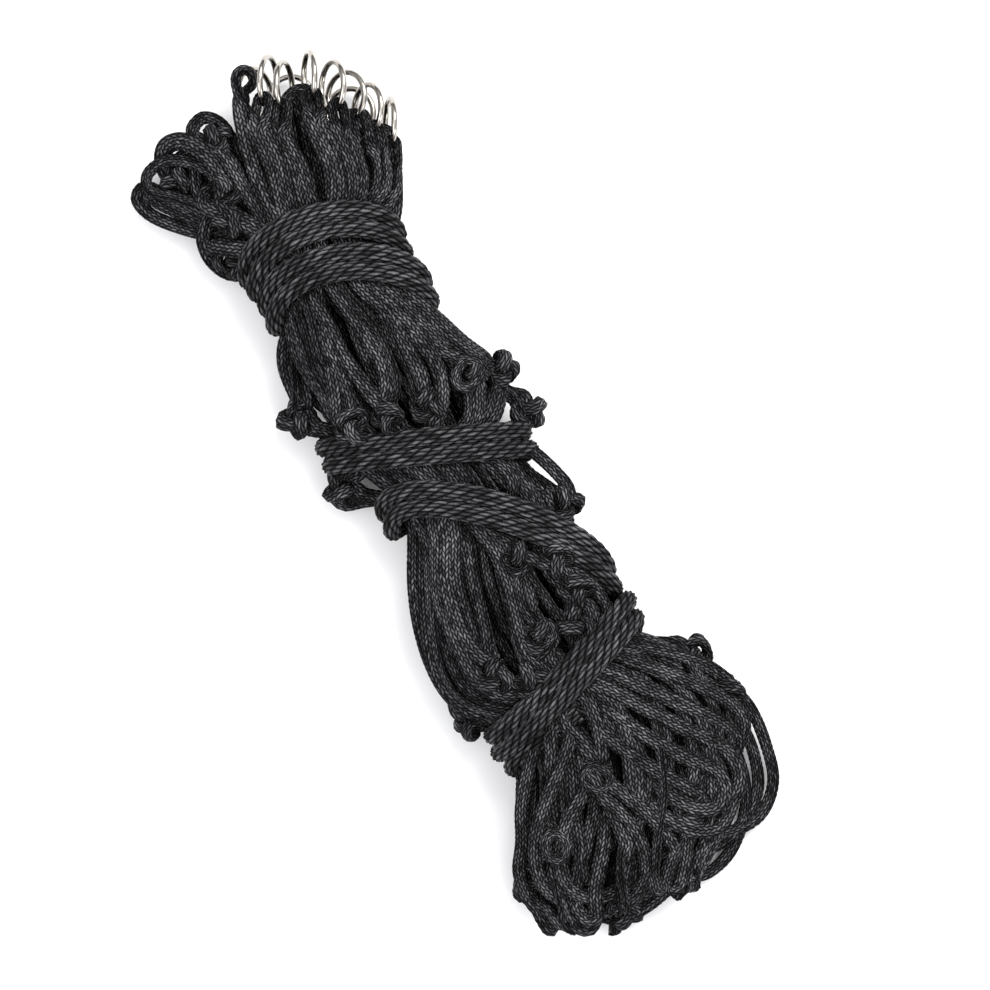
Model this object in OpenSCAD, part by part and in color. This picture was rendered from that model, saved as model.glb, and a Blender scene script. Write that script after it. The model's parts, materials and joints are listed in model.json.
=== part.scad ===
// A knotted cord net with steel rings along its mouth, folded into a hank and tied in its own doubled draw rope.
// It lies on a flat surface: +Z is up, +Y runs to the mouth rings, +X is to the right. Millimetres.

/* [Net cord] */
// Width of the flat braided cord
cord_w = 7.5; // [6:0.5:8]
// Thickness of the flat braided cord
cord_t = 3; // [2:0.5:3]
// Diameter of a netting knot
knot_d = 15; // [12:1:17]

/* [Draw rope] */
// Diameter of the round draw rope
rope_d = 8; // [7:0.5:8]

/* [Mouth rings] */
// Inner diameter of a mouth ring
ring_bore = 19.2; // [18.5:0.1:19.2]
// Diameter of the ring's wire
ring_wire = 2.8; // [2.2:0.1:2.8]

/* [Base ring] */
// Inner diameter of the ring that gathers the closed end
base_bore = 30; // [24:1:32]
// Diameter of the base ring's wire
base_wire = 3.5; // [3:0.5:4]

/* [Hank] */
// Height of the hank where the rope squeezes it, over the rope
neck_h = 50; // [48:1:52]
// How far a lobe between two ties stands above the floor at most
lobe_h = 53; // [50:1:56]

/* [Hidden] */
ring_r = (ring_bore + ring_wire) / 2;      // to the middle of the wire
base_r = (base_bore + base_wire) / 2;
loose_r = (cord_w + cord_t) / 4;           // a loose flat cord stands as a round one of its mean size

// A cord eye is a short sleeve of cord round the wire, on a stem that runs back into the head.
eye_len = 6;
eye_wall = 2.5;
eye_play = 0.55;                           // between wire and eye
ring_sag = ring_r - sqrt(pow(ring_r, 2) - pow(eye_len / 2, 2));
eye_bore_r = ring_wire / 2 + eye_play;
eye_r = eye_bore_r + eye_wall;
stem_d = 6.4;
stem_len = 18;

// Each mouth ring: centre x, y, z, heading of its outer side from +Y, roll from upright, and how far up the wire
// its eye sits.
RINGS = [
    [-20, 200, 20, -22, -39, 15],
    [-12, 201, 36, -24, -16, 25],
    [-6, 196, 36, -20, -16, 25],
    [6, 196, 38, -20, 15, 25],
    [14, 188, 38, -22, 29, 25],
    [18, 183, 24, -22, 50, 20],
    [25, 174, 26, -22, 35, 25],
    [32, 165, 20, -22, 12, 20],
    [-6, 192, 8, -20, 75, 5],
    [17, 177, 8, -24, 75, 5]
];
ring_count = len(RINGS);

// Sections across the hank: middle x, y, half width, turn about Z, middle height, half height.
// A section at a tie is as flat as the rope makes it; two lobes share it.
mid_z = neck_h / 2;
neck_b = neck_h / 2 - rope_d;
lobe_b = lobe_h - mid_z;
TIE_A = [-17, 103, 31, -10, mid_z, neck_b];
TIE_B = [-6.5, 22.5, 40, -17, mid_z, neck_b];
TIE_C = [6, -27, 39, -29, mid_z, neck_b];
TIE_D = [13, -97, 37, 26, mid_z, neck_b];
HEAD = [
    TIE_A,
    [-15, 118, 29, -14, mid_z, neck_b],
    [-9, 138, 32, -20, mid_z, neck_b],
    [-5, 156, 33, -27, mid_z + 1, neck_b],
    [-8, 176, 23, -21, mid_z + 1, neck_b - 2]
];
FOLD = [
    [-36, 122, 16, 10, mid_z, neck_b - 1],
    [-50, 150, 21, 25, 21, 19],
    [-56, 172, 18, 25, 20, 18],
    [-55, 186, 11, 30, 22, 13]
];
UPPER = [TIE_A, [-12.5, 74, 41, -12, mid_z, lobe_b - 2], [-8, 54, 46, -15, mid_z, lobe_b], TIE_B];
WAIST = [TIE_B, [1, -2, 37, -22, mid_z, lobe_b - 4], TIE_C];
LOWER = [TIE_C, [2, -50, 43, -12, mid_z, lobe_b - 2], [1, -77, 45, 5, mid_z, lobe_b], TIE_D];
TAIL = [
    TIE_D,
    [27, -121, 50, 14, mid_z, lobe_b - 3],
    [27, -150, 56, 0, mid_z, lobe_b - 1],
    [18, -172, 58, -8, mid_z - 1, lobe_b - 2],
    [12, -192, 48, -5, mid_z - 2, lobe_b - 5],
    [8, -205, 26, 0, mid_z - 4, lobe_b - 9]
];

// Netting knots that stand out of each lobe.
KNOTS_UPPER = [
    [-56, 56, 20], [-34, 43, 43], [-17, 41, 47], [1, 40, 47], [25, 46, 42], [38, 43, 32], [43, 21, 22]
];
KNOTS_WAIST = [[-49, 20, 16], [42, -24, 26]];
KNOTS_LOWER = [
    [14, -39, 46], [29, -45, 42], [33, -61, 40], [10, -74, 47], [26, -76, 42], [-2, -91, 45], [-16, -84, 44],
    [-34, -101, 16]
];
KNOTS_TAIL = [
    [70, -108, 20], [79, -130, 22], [10, -142, 47], [-20, -166, 36], [-37, -181, 12], [0, -205, 10], [46, -174, 38]
];

// Half turns of the doubled draw rope, from side to side of the hank: over it, then under it, and so on. Each point
// is x, y at a side, and how far the half turn that starts there arches towards the mouth.
ROPE_SIDES = [
    [-53, 118, 19], [17, 112, 0], [-50, 102, 19], [20, 88, 0], [-50, 35, 1], [37, 9, 0], [-35, -3, 22],
    [49, -63, 0], [-27, -113, -2], [53, -78, -8], [-28, -122, 0]
];
rope_mid_b = neck_h / 2 - rope_d / 2;
rope_gap = rope_d + 0.4;                   // between the middles of the two strands
rope_steps = 4;                            // rings of the tube in each half turn
// From the first side the doubled rope runs down under the head, where its fold makes a flat loop.
ROPE_FOLD = [
    [-50, 126, 12], [-38, 135, 5], [-22, 145, 4], [-10, 154, 4], [2, 158, 4], [12, 152, 4], [13, 140, 4],
    [4, 130, 4], [-10, 124, 4], [-28, 120, 4], [-44, 116, 12]
];
// Where its two free ends are tucked under the last tie.
ROPE_TUCK = [[-20, -118, 31], [-6, -114, 37], [14, -108, 41]];

BASE_RING = [54, -156, 24];                // middle of the ring that the closed end is gathered on

// Cord runs that lie free of the lobes.
FOLD_LOOP_LOW = [[-60, 147, 16], [-74, 157, 13], [-84, 167, 11], [-87, 176, 11], [-81, 179, 13], [-71, 168, 16],
    [-58, 152, 20]];
FOLD_LOOP_HIGH = [[-58, 158, 26], [-70, 169, 22], [-80, 177, 19], [-78, 184, 18], [-68, 186, 22], [-57, 182, 28]];
TAIL_SIDE_LOOP = [[66, -118, 26], [80, -128, 22], [86, -140, 16], [87, -158, 9], [84, -176, 6], [73, -188, 5],
    [58, -190, 8]];
TAIL_CORNER_LOOP = [[72, -160, 14], [67, -182, 8], [54, -199, 4], [40, -204, 4], [28, -198, 8]];
CURL = [-23, 205, 36];
curl_r = 4.6;
curl_cord = 4;
curl_turn = -17;                           // heading of its cord
curl_stem_d = 6;
curl_stem_len = 28;

parts = ["head_bundle", "fold_bundle", "upper_bundle", "waist_bundle", "lower_bundle", "tail_bundle",
    "knots_upper", "knots_waist", "knots_lower", "knots_tail", "fold_loop_low", "fold_loop_high", "curl_loop",
    "tail_side_loop", "tail_corner_loop", "draw_rope", "base_ring"];

// ---- Curves and tubes ----

// A point on the smooth curve through p, at u from 0 to len(p) - 1.
function held(p, i) = p[max(0, min(len(p) - 1, i))];
function on_curve(p, u) =
    let (i = min(floor(u), len(p) - 2), f = u - i, a = held(p, i - 1), b = held(p, i), c = held(p, i + 1),
        d = held(p, i + 2))
    ((2 * b) + (c - a) * f + (2 * a - 5 * b + 4 * c - d) * pow(f, 2) + (3 * b - a - 3 * c + d) * pow(f, 3)) / 2;
function smooth_curve(p, steps) = [for (k = [0:(len(p) - 1) * steps]) on_curve(p, k / steps)];

function unit(v) = v / norm(v);
function along(p, i) = unit(held(p, i + 1) - held(p, i - 1));

// The rings of a tube: each across the path, with its first side turned to lie across ref.
function tube_ring(p, i, r, sides, ref) =
    let (t = along(p, i), u = unit(cross(t, ref)), v = cross(t, u))
    [for (k = [0:sides - 1]) p[i] + r * (cos(360 * k / sides) * u + sin(360 * k / sides) * v)];

module tube(path, r, sides, ref) {
    n = len(path);
    points = [for (i = [0:n - 1]) each tube_ring(path, i, r, sides, ref)];
    walls = [for (i = [0:n - 2], k = [0:sides - 1])
        let (a = i * sides + k, b = i * sides + (k + 1) % sides) [a, a + sides, b + sides, b]];
    start = [for (k = [0:sides - 1]) k];
    finish = [for (k = [sides - 1:-1:0]) (n - 1) * sides + k];
    polyhedron(points = points, faces = concat([start], walls, [finish]), convexity = 10);
}

// ---- The net ----

module section(s) {
    translate([s[0], s[1], s[4]]) rotate([0, 0, s[3]]) scale([s[2], 1, s[5]])
        rotate([90, 0, 0]) cylinder(r = 1, h = 1, center = true, $fn = 32);
}

// A lobe of folded netting: one skin over its sections, flat where it lies on the floor.
module lobe(sections) {
    color([0.1, 0.1, 0.11]) intersection() {
        hull() for (s = sections) section(s);
        translate([-300, -300, 0]) cube([600, 600, 100]);
    }
}

module knots(places) {
    color([0.16, 0.16, 0.17]) for (p = places) translate(p) sphere(d = knot_d, $fn = 24);
}

module free_cord(points) {
    color([0.13, 0.13, 0.14]) tube(smooth_curve(points, 3), loose_r, 8, [0, 0, 1]);
}

module curl_loop() {
    color([0.13, 0.13, 0.14]) translate(CURL) rotate([0, 0, curl_turn]) {
        rotate_extrude($fn = 36) translate([curl_r, 0]) circle(d = curl_cord, $fn = 16);
        translate([0, -curl_r, 0]) rotate([90, 0, 0]) cylinder(d = curl_stem_d, h = curl_stem_len, $fn = 24);
    }
}

// ---- The draw rope ----

// Half a turn from side point p to side point q, over the hank or under it.
function half_turn(p, q, over) = [for (k = [0:rope_steps - 1])
    let (a = 180 * k / rope_steps, f = (1 - cos(a)) / 2)
    [p[0] + (q[0] - p[0]) * f, p[1] + (q[1] - p[1]) * f + p[2] * sin(a),
        mid_z + (over ? 1 : -1) * rope_mid_b * sin(a)]];
rope_turns = [for (i = [0:len(ROPE_SIDES) - 2]) each half_turn(ROPE_SIDES[i], ROPE_SIDES[i + 1], i % 2 == 0)];

// One strand runs beside the middle line of the turns: towards the mouth for sign 1, away from it for -1.
function beside(p, i, sign) =
    let (t = along(p, i), across = unit([0, 1, 0] - t * t[1])) p[i] + sign * rope_gap / 2 * across;
function strand(sign) = [for (i = [0:len(rope_turns) - 1]) beside(rope_turns, i, sign)];
function tuck(sign) = [for (p = ROPE_TUCK) p + [0, sign * rope_gap / 2, 0]];
function backwards(p) = [for (i = [len(p) - 1:-1:0]) p[i]];
rope_path = concat(backwards(tuck(1)), backwards(strand(1)), ROPE_FOLD, strand(-1), tuck(-1));

module draw_rope() {
    color([0.2, 0.2, 0.21]) tube(rope_path, rope_d / 2, 8, [0, 1, 0.01]);
}

// ---- Rings and their eyes ----

module at_ring(i) {
    r = RINGS[i];
    translate([r[0], r[1], r[2]]) rotate([0, 0, r[3]]) rotate([0, r[4], 0]) rotate([-r[5], 0, 0]) children();
}

module at_eye(i) {
    at_ring(i) translate([0, ring_sag / 2 - ring_r, 0]) children();
}

module round_ring(r, wire) {
    rotate_extrude($fn = 64) translate([r, 0]) circle(d = wire, $fn = 24);
}

module ring(i) {
    color([0.78, 0.78, 0.76]) at_ring(i) rotate([0, 90, 0]) round_ring(ring_r, ring_wire);
}

module eye(i) {
    color([0.13, 0.13, 0.14]) at_eye(i) difference() {
        union() {
            cylinder(r = eye_r, h = eye_len, center = true, $fn = 32);
            rotate([RINGS[i][5], 0, 0]) rotate([90, 0, 0]) cylinder(d = stem_d, h = stem_len, $fn = 24);
        }
        cylinder(r = eye_bore_r, h = eye_len + 2 * stem_d, center = true, $fn = 32);
    }
}

module base_ring() {
    color([0.72, 0.72, 0.7]) translate(BASE_RING) rotate([6, -18, 0]) round_ring(base_r, base_wire);
}

lobe(HEAD);  // head_bundle
lobe(FOLD);  // fold_bundle
lobe(UPPER);  // upper_bundle
lobe(WAIST);  // waist_bundle
lobe(LOWER);  // lower_bundle
lobe(TAIL);  // tail_bundle
knots(KNOTS_UPPER);  // knots_upper
knots(KNOTS_WAIST);  // knots_waist
knots(KNOTS_LOWER);  // knots_lower
knots(KNOTS_TAIL);  // knots_tail
free_cord(FOLD_LOOP_LOW);  // fold_loop_low
free_cord(FOLD_LOOP_HIGH);  // fold_loop_high
curl_loop();
free_cord(TAIL_SIDE_LOOP);  // tail_side_loop
free_cord(TAIL_CORNER_LOOP);  // tail_corner_loop
draw_rope();
base_ring();
for (i = [1:ring_count]) {
    eye(i - 1);
    ring(i - 1);
}
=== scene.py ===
import json
import math

import bmesh
import bpy
import numpy as np
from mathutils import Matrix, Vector


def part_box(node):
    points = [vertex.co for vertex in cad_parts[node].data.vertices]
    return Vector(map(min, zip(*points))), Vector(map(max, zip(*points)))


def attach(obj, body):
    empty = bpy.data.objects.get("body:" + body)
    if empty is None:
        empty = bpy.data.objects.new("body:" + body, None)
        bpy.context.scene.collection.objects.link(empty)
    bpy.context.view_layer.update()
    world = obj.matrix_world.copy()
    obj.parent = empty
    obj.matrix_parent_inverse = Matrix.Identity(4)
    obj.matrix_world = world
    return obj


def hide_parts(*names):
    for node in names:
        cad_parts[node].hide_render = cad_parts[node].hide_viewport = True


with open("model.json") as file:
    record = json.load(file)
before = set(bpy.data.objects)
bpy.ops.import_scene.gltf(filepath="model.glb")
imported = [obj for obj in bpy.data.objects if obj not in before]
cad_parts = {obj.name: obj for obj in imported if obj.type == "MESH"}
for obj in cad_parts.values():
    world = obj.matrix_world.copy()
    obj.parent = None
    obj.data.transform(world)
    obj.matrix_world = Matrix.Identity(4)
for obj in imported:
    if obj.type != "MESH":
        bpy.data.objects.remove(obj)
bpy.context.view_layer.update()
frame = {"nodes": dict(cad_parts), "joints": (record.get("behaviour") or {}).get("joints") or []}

seed = 11
netBody = "net"
turn = 2 * math.pi

view = {
    "target": (0.0143, -0.0085, 0.025),
    "distance": 1.9,
    "width": 0.4455,       # how much of the floor the picture takes in
    "heading": -21.6,      # the hank lies slanted in the picture
    "sensor": 36,
}
studio = {
    "horizon": (0.1, 0.1, 0.105),
    "overhead": (1.25, 1.25, 1.27),
    "falloff": 1.6,        # how soon the sky darkens towards the horizon
    "strength": 1.3,
    "floorColour": (0.93, 0.93, 0.935),
    "floorRough": 0.6,
    "floorHalf": 3,
}
# Place, size and power: a large soft light from the upper right, weak ones from the other sides
lights = {
    "keyLight": ((0.7, 0.5, 1.1), 0.8, 20),
    "fillLight": ((-0.9, -0.1, 0.9), 0.9, 7),
    "rimLight": ((0.5, -0.9, 0.7), 0.5, 4),
}


def added(name, data):
    made = bpy.data.objects.new(name, data)
    bpy.context.collection.objects.link(made)
    return made


def makeCamera():
    data = bpy.data.cameras.new("camera")
    data.sensor_width = view["sensor"]
    data.lens = view["sensor"] * view["distance"] / view["width"]
    camera = added("camera", data)
    camera.location = Vector(view["target"]) + Vector((0, 0, view["distance"]))
    camera.rotation_euler = (0, 0, math.radians(view["heading"]))
    bpy.context.scene.camera = camera


def makeStudio():
    scene = bpy.context.scene
    scene.view_settings.view_transform = "Standard"
    world = bpy.data.worlds.new("studio")
    world.use_nodes = True
    w = Wires(world.node_tree)
    background = world.node_tree.nodes["Background"]
    height = w.split(w.node("ShaderNodeTexCoord").outputs["Generated"])[2]
    overhead = w.math("POWER", w.math("MAXIMUM", height, 0), studio["falloff"])
    w.plug(w.mixColour(overhead, studio["horizon"], studio["overhead"]), background.inputs["Color"])
    background.inputs["Strength"].default_value = studio["strength"]
    scene.world = world
    for name, (place, size, power) in lights.items():
        data = bpy.data.lights.new(name, "AREA")
        data.energy, data.size = power, size
        light = added(name, data)
        light.location = place
        light.rotation_euler = (-Vector(place)).to_track_quat("-Z", "Y").to_euler()


def makeFloor():
    shape = bmesh.new()
    bmesh.ops.create_grid(shape, x_segments=1, y_segments=1, size=studio["floorHalf"])
    mesh = bpy.data.meshes.new("floor")
    shape.to_mesh(mesh)
    shape.free()
    floor = added("floor", mesh)
    material, w, sockets = newMaterial("paleFloor")
    sockets["Base Color"].default_value = (*studio["floorColour"], 1)
    sockets["Roughness"].default_value = studio["floorRough"]
    mesh.materials.append(material)


# Shorthand for adding nodes to a tree
class Wires:
    def __init__(self, tree):
        self.tree = tree

    def node(self, kind, **settings):
        made = self.tree.nodes.new(kind)
        for key, value in settings.items():
            setattr(made, key, value)
        return made

    def plug(self, source, target):
        if isinstance(source, (int, float, tuple)):
            target.default_value = source
        else:
            self.tree.links.new(source, target)

    def math(self, operation, a, b=0.0, c=0.0):
        made = self.node("ShaderNodeMath", operation=operation)
        for value, socket in zip((a, b, c), made.inputs):
            self.plug(value, socket)
        return made.outputs[0]

    def vector(self, operation, a, b):
        made = self.node("ShaderNodeVectorMath", operation=operation)
        self.plug(a, made.inputs[0])
        self.plug(b, made.inputs["Scale"] if operation == "SCALE" else made.inputs[1])
        return made.outputs[0]

    def split(self, vector):
        made = self.node("ShaderNodeSeparateXYZ")
        self.plug(vector, made.inputs[0])
        return made.outputs

    def stretch(self, vector, scale):
        made = self.node("ShaderNodeMapping")
        self.plug(vector, made.inputs["Vector"])
        made.inputs["Scale"].default_value = scale
        return made.outputs[0]

    def noise(self, vector, scale, detail=2):
        made = self.node("ShaderNodeTexNoise")
        self.plug(vector, made.inputs["Vector"])
        made.inputs["Scale"].default_value = scale
        made.inputs["Detail"].default_value = detail
        return made.outputs

    def bump(self, strength, distance, height):
        made = self.node("ShaderNodeBump")
        made.inputs["Strength"].default_value = strength
        made.inputs["Distance"].default_value = distance
        self.plug(height, made.inputs["Height"])
        return made.outputs[0]

    def mixColour(self, factor, a, b):
        made = self.node("ShaderNodeMix", data_type="RGBA")
        self.plug(factor, made.inputs[0])
        for value, socket in ((a, made.inputs[6]), (b, made.inputs[7])):
            self.plug((*value, 1) if isinstance(value, tuple) else value, socket)
        return made.outputs[2]


def newGroup(name, inputs, outputs):
    group = bpy.data.node_groups.new(name, "ShaderNodeTree")
    for label, kind, value in inputs:
        socket = group.interface.new_socket(label, in_out="INPUT", socket_type=kind)
        if value is not None:
            socket.default_value = value
    for label in outputs:
        group.interface.new_socket(label, in_out="OUTPUT", socket_type="NodeSocketFloat")
    w = Wires(group)
    return w, w.node("NodeGroupInput").outputs, w.node("NodeGroupOutput").inputs


def newMaterial(name):
    material = bpy.data.materials.new(name)
    material.use_nodes = True
    return material, Wires(material.node_tree), material.node_tree.nodes["Principled BSDF"].inputs


# How far the stitches wander from their columns: the noise's scale round and along the cord, and the shift
braidDrift = {"scale": (7, 330, 1), "shift": (0.02, 0.0018, 0)}


# Stitches of a braid on a cord's own UV, and a painted shade on its narrow edges: U runs once round it, V along it in
# metres
def braidGroup():
    w, given, out = newGroup("braidStitches", [
        ("UV", "NodeSocketVector", None), ("Columns", "NodeSocketFloat", 8), ("Pitch", "NodeSocketFloat", 0.0027),
        ("Slant", "NodeSocketFloat", 0.4), ("Alternate", "NodeSocketFloat", 1), ("Drift", "NodeSocketFloat", 1),
        ("Edge", "NodeSocketFloat", 0.7)], ("Height", "Stitch", "Face"))
    drift = w.noise(w.stretch(given["UV"], braidDrift["scale"]), 1.0)["Color"]
    shift = w.vector("MULTIPLY", w.vector("SUBTRACT", drift, (0.5, 0.5, 0.5)), braidDrift["shift"])
    moved = w.split(w.vector("ADD", given["UV"], w.vector("SCALE", shift, given["Drift"])))
    # Painted shade: the flat faces keep their full colour and the narrow edges are painted darker, as if in shade
    middle = w.math("ABSOLUTE", w.math("SINE", w.math("MULTIPLY", w.split(given["UV"])[0], turn)))
    lit = w.math("SMOOTH_MIN", w.math("MULTIPLY", middle, 1.2), 1, 0.2)
    w.plug(w.math("SUBTRACT", 1, w.math("MULTIPLY", w.math("SUBTRACT", 1, lit), given["Edge"])), out["Face"])
    # Each column of stitches leans against its neighbour, half a stitch further on
    across = w.math("MULTIPLY", moved[0], given["Columns"])
    column = w.math("FLOOR", across)
    side = w.math("SUBTRACT", w.math("MULTIPLY", w.math("FRACT", across), 2), 1)
    odd = w.math("MODULO", column, 2)
    lean = w.math("SUBTRACT", w.math("MULTIPLY", w.math("MULTIPLY", odd, given["Alternate"]), 2), 1)
    slanted = w.math("MULTIPLY", w.math("MULTIPLY", lean, side), given["Slant"])
    along = w.math("DIVIDE", moved[1], given["Pitch"])
    phase = w.math("ADD", w.math("ADD", along, slanted), w.math("MULTIPLY", odd, 0.5))
    stitch = w.math("SUBTRACT", w.math("MULTIPLY", w.math("FRACT", phase), 2), 1)
    round1 = w.math("SUBTRACT", 1, w.math("POWER", w.math("ABSOLUTE", side), 2))
    round2 = w.math("SUBTRACT", 1, w.math("POWER", w.math("ABSOLUTE", stitch), 2))
    w.plug(w.math("SQRT", w.math("MAXIMUM", w.math("MULTIPLY", round1, round2), 0)), out["Height"])
    mark = w.node("ShaderNodeTexWhiteNoise", noise_dimensions="2D")
    place = w.node("ShaderNodeCombineXYZ")
    w.plug(column, place.inputs[0])
    w.plug(w.math("FLOOR", phase), place.inputs[1])
    w.plug(place.outputs[0], mark.inputs["Vector"])
    w.plug(mark.outputs["Value"], out["Stitch"])


yarn = {"filaments": (60, 900, 1), "lint": 1400, "patches": 45}


# Fine filaments along the stitches and soft fuzz, on the cord's own UV and on Object coordinates
def yarnGroup():
    w, given, out = newGroup("yarnFuzz", [("UV", "NodeSocketVector", None), ("Object", "NodeSocketVector", None),
        ("Fuzz", "NodeSocketFloat", 0.5)], ("Height", "Tone"))
    filaments = w.noise(w.stretch(given["UV"], yarn["filaments"]), 1.0)[0]
    lint = w.noise(given["Object"], yarn["lint"], 3)[0]
    patches = w.noise(given["Object"], yarn["patches"])[0]
    w.plug(w.math("ADD", filaments, w.math("MULTIPLY", lint, given["Fuzz"])), out["Height"])
    w.plug(w.math("MULTIPLY", patches, lint), out["Tone"])


# How much the painted highlight on a cord differs in tone from stitch to stitch and from patch to patch, how polished a
# stitch's top is, and the bump
cordTone = {"stitch": 0.85, "patch": 3.2, "least": 0.1, "polish": 0.4, "yarn": 0.35, "bump": 0.0008}


def cordMaterial(name, look):
    material, w, sockets = newMaterial(name)
    sockets["Sheen Weight"].default_value = look["sheen"]
    sockets["Sheen Roughness"].default_value = 0.5
    sockets["Specular IOR Level"].default_value = look["gloss"]
    coords = w.node("ShaderNodeTexCoord").outputs
    braid = w.node("ShaderNodeGroup", node_tree=bpy.data.node_groups["braidStitches"])
    w.plug(coords["UV"], braid.inputs["UV"])
    for label in ("Columns", "Pitch", "Slant", "Alternate", "Drift", "Edge"):
        braid.inputs[label].default_value = look[label.lower()]
    fuzz = w.node("ShaderNodeGroup", node_tree=bpy.data.node_groups["yarnFuzz"])
    w.plug(coords["UV"], fuzz.inputs["UV"])
    w.plug(coords["Object"], fuzz.inputs["Object"])
    fuzz.inputs["Fuzz"].default_value = look["fuzz"]
    height, stitch = braid.outputs["Height"], braid.outputs["Stitch"]
    tone = w.math("ADD", w.math("MULTIPLY", stitch, cordTone["stitch"]), 1 - cordTone["stitch"])
    patch = w.math("ADD", w.math("MULTIPLY", fuzz.outputs["Tone"], cordTone["patch"]), cordTone["least"])
    # Painted highlight and shade: the stitch tops are painted lighter and the grooves between them darker, after the
    # braid's height, and the narrow edges take the painted edge shade
    lit = w.math("MULTIPLY", w.math("MULTIPLY", w.math("POWER", height, 3), tone), patch)
    lit = w.math("MULTIPLY", lit, braid.outputs["Face"])
    w.plug(w.mixColour(w.math("MINIMUM", lit, 1), look["dark"], look["light"]), sockets["Base Color"])
    polish = w.math("MULTIPLY", w.math("MULTIPLY", height, stitch), cordTone["polish"])
    w.plug(w.math("SUBTRACT", look["rough"], polish), sockets["Roughness"])
    relief = w.math("ADD", height, w.math("MULTIPLY", fuzz.outputs["Height"], cordTone["yarn"]))
    w.plug(w.bump(look["relief"], cordTone["bump"], relief), sockets["Normal"])
    return material


steel = {"colour": (0.36, 0.335, 0.3), "stain": (0.5, 0.47, 0.43), "rough": 0.08, "scuffRough": 0.12,
    "scuffs": 900, "stains": 120, "bump": 0.0002}


def steelMaterial(name):
    material, w, sockets = newMaterial(name)
    sockets["Metallic"].default_value = 1.0
    place = w.node("ShaderNodeTexCoord").outputs["Object"]
    scuffs = w.noise(place, steel["scuffs"], 4)[0]
    stains = w.noise(place, steel["stains"])[0]
    w.plug(w.mixColour(stains, steel["colour"], steel["stain"]), sockets["Base Color"])
    w.plug(w.math("ADD", steel["rough"], w.math("MULTIPLY", scuffs, steel["scuffRough"])), sockets["Roughness"])
    w.plug(w.bump(0.06, steel["bump"], scuffs), sockets["Normal"])
    return material


def unit(v):
    return v / np.maximum(np.linalg.norm(v, axis=-1, keepdims=True), 1e-12)


# The routes below are written in millimetres
def metres(route):
    return np.array(route) / 1000


# How far along its route each point lies
def travelled(points):
    return np.concatenate([[0], np.cumsum(np.linalg.norm(np.diff(points, axis=0), axis=1))])


# A Catmull-Rom curve through the points, resampled evenly
def smoothRoute(points, spacing):
    p = np.asarray(points, float)
    p = np.vstack([2 * p[0] - p[1], p, 2 * p[-1] - p[-2]])
    f = np.linspace(0, 1, 13)[:-1, None]
    rows = []
    for a, b, c, d in zip(p[:-3], p[1:-2], p[2:-1], p[3:]):
        rows.append((2 * b + (c - a) * f + (2 * a - 5 * b + 4 * c - d) * f**2 + (3 * b - a - 3 * c + d) * f**3) / 2)
    fine = np.vstack(rows + [p[-2:-1]])
    return evenly(fine, spacing)


def evenly(fine, spacing):
    reach = travelled(fine)
    count = max(4, int(round(reach[-1] / spacing)) + 1)
    at = np.linspace(0, reach[-1], count)
    return np.stack([np.interp(at, reach, fine[:, k]) for k in range(3)], axis=1)


def routeLength(path):
    return float(np.linalg.norm(np.diff(path, axis=0), axis=1).sum())


def blur(values, times):
    values = np.array(values, float)
    for _ in range(times):
        values[1:-1] = (values[:-2] + 2 * values[1:-1] + values[2:]) / 4
    return values


def alongPath(path):
    return unit(np.gradient(path, axis=0))


# From 0 to 1 with a soft start and a soft end
def ease(f):
    return f * f * (3 - 2 * f)


# A normal carried along the path with no turning of its own
def carried(path):
    ahead = alongPath(path)
    first = np.cross(ahead[0], (0.3, 0.2, 1))
    normals = [first / np.linalg.norm(first)]
    for t in ahead[1:]:
        n = normals[-1] - t * np.dot(normals[-1], t)
        normals.append(n / np.linalg.norm(n))
    return np.array(normals)


# The direction that the cord's flat face looks in: facing, laid square to the path and turned by twist
def roundTwist(path, facing, twist):
    ahead = alongPath(path)
    n = facing - ahead * (facing * ahead).sum(1, keepdims=True)
    n = unit(blur(unit(n), 3))
    n = unit(n - ahead * (n * ahead).sum(1, keepdims=True))
    side = np.cross(ahead, n)
    c, s = np.cos(twist)[:, None], np.sin(twist)[:, None]
    return n * c + side * s


# The braid's stitches as a height from 0 to 1, the same pattern as the material's
def stitchRelief(u, v, look):
    across = u * look["columns"]
    column = np.floor(across + 1e-6)
    side = (across - column) * 2 - 1
    odd = np.mod(column, 2)
    lean = odd * look["alternate"] * 2 - 1
    phase = v / look["pitch"] + lean * side * look["slant"] + odd * 0.5
    stitch = (phase - np.floor(phase)) * 2 - 1
    return np.sqrt(np.clip((1 - side**2) * (1 - stitch**2), 0, 1))


# The angles at which points lie evenly spaced round a cord's outline
def evenAngles(halfWidth, halfThick, look):
    fine = np.linspace(0, turn, 721)
    x = halfWidth * np.sign(np.cos(fine)) * np.abs(np.cos(fine)) ** look["square"]
    y = halfThick * np.sign(np.sin(fine)) * np.abs(np.sin(fine)) ** look["square"]
    reach = np.concatenate([[0], np.cumsum(np.hypot(np.diff(x), np.diff(y)))])
    return np.interp(np.arange(look["sides"]) / look["sides"] * reach[-1], reach, fine)


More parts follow.
